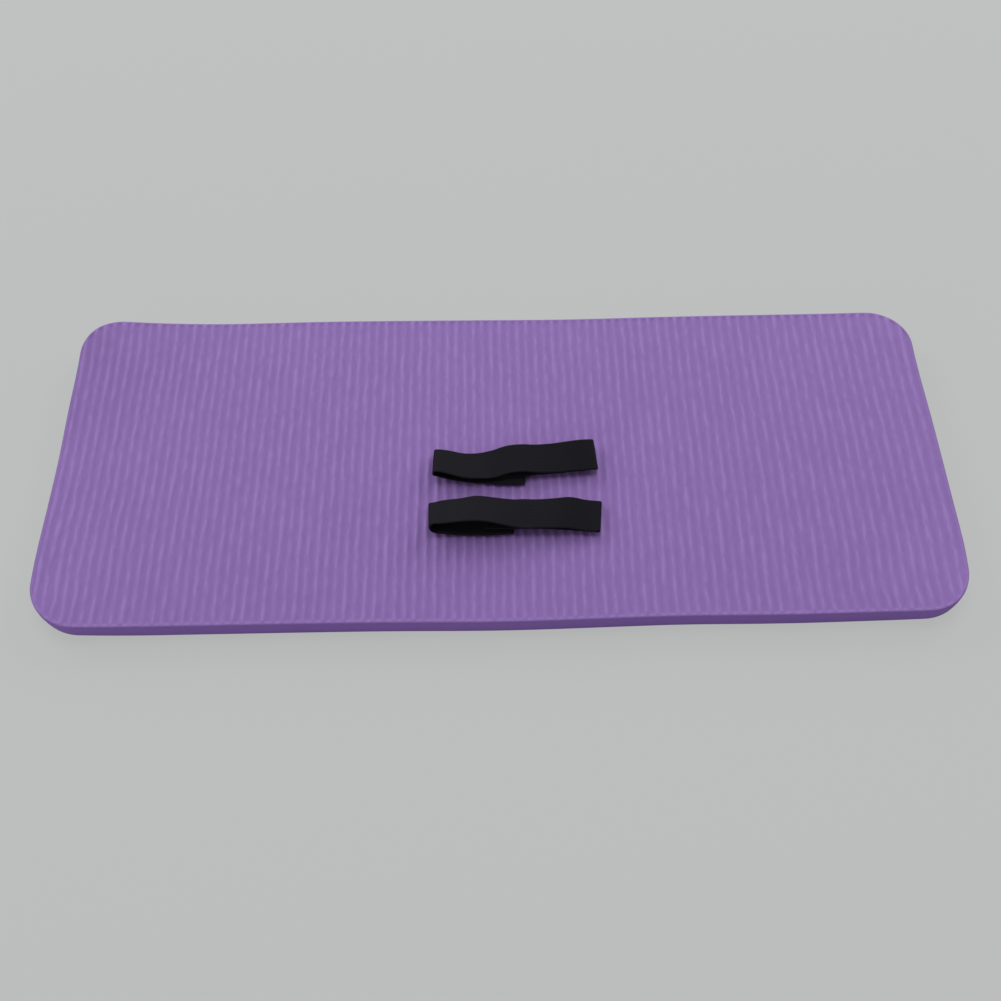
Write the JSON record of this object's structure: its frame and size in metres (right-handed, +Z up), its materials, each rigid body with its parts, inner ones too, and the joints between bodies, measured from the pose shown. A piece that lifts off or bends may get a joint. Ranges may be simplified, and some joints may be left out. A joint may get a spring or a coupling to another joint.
{
  "type": "kneeling pad",
  "caption": "Ribbed foam kneeling pad with rounded corners and loose elastic loop straps that hold it rolled up.",
  "frame": {"origin": "centre of the pad's underside, on the crests of its ribs", "axes": "+X along the pad's length, +Y across it to the rear edge, away from the straps' end of the width, +Z up out of the top face"},
  "size_m": [0.6, 0.25, 0.0258],
  "materials": {
    "foam": "matt purple closed-cell foam",
    "webbing": "matt black woven elastic",
    "thread": "black sewing thread"
  },
  "bodies": {
    "pad": {"foam_pad": "foam"},
    "rear_strap": {"rear_strap_band": "webbing", "rear_strap_stitching": "thread"},
    "front_strap": {"front_strap_band": "webbing", "front_strap_stitching": "thread"}
  },
  "joints": [
    {"name": "rear_strap_lift", "type": "slide", "parent": "pad", "child": "rear_strap", "axis": [0, 0, 1], "range_m": [0, 0.12]},
    {"name": "front_strap_lift", "type": "slide", "parent": "pad", "child": "front_strap", "axis": [0, 0, 1], "range_m": [0, 0.12]}
  ]
}
